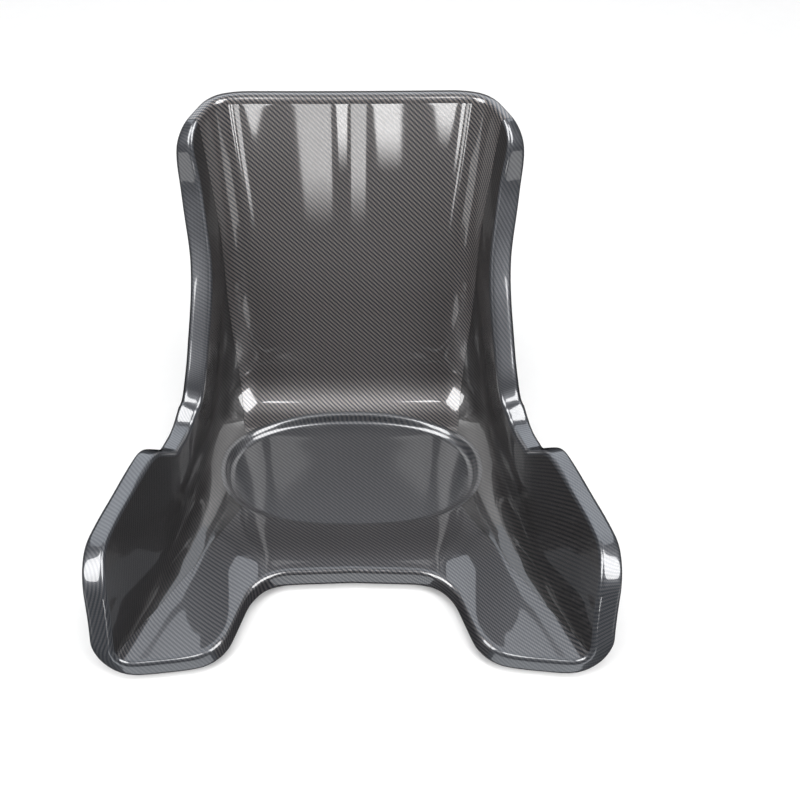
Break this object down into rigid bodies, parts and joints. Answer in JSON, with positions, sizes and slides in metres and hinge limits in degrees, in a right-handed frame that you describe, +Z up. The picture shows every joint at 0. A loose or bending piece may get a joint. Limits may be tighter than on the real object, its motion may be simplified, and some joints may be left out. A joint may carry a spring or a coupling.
{
  "type": "racing seat",
  "caption": "Bare kart racing seat shell in hand-laid woven cloth, with an upright back, an oval dish, leg wings and a cut-out between two front lobes.",
  "frame": {"origin": "on the flat underside of the seat dish, on the middle line of the seat, 7.5 mm behind the middle of the dish", "axes": "+Z up, -Y the way the sitter faces, +X to the right seen from the front"},
  "size_m": [0.497, 0.46, 0.3708],
  "materials": {
    "laminate": "resin-rich woven reverse, satin",
    "dish_cloth": "fine 2x2 twill cloth under a glossy clear coat",
    "pan_cloth": "2x2 twill cloth under a glossy clear coat",
    "back_cloth": "2x2 twill cloth under a glossy clear coat",
    "side_cloth": "2x2 twill cloth under a glossy clear coat",
    "rim_strip": "narrow strips of 2x2 twill cloth under a glossy clear coat"
  },
  "bodies": {
    "root": {"laminate_back": "laminate", "laminate_side_left": "laminate", "laminate_side_right": "laminate", "laminate_pan": "laminate", "laminate_dish": "laminate", "dish_cloth": "dish_cloth", "pan_cloth": "pan_cloth", "back_cloth": "back_cloth", "side_cloth_left": "side_cloth", "side_cloth_right": "side_cloth", "front_rim_strip": "rim_strip", "wing_rim_strip_left": "rim_strip", "wing_rim_strip_right": "rim_strip", "back_rim_strip_left": "rim_strip", "back_rim_strip_right": "rim_strip"}
  },
  "joints": []
}
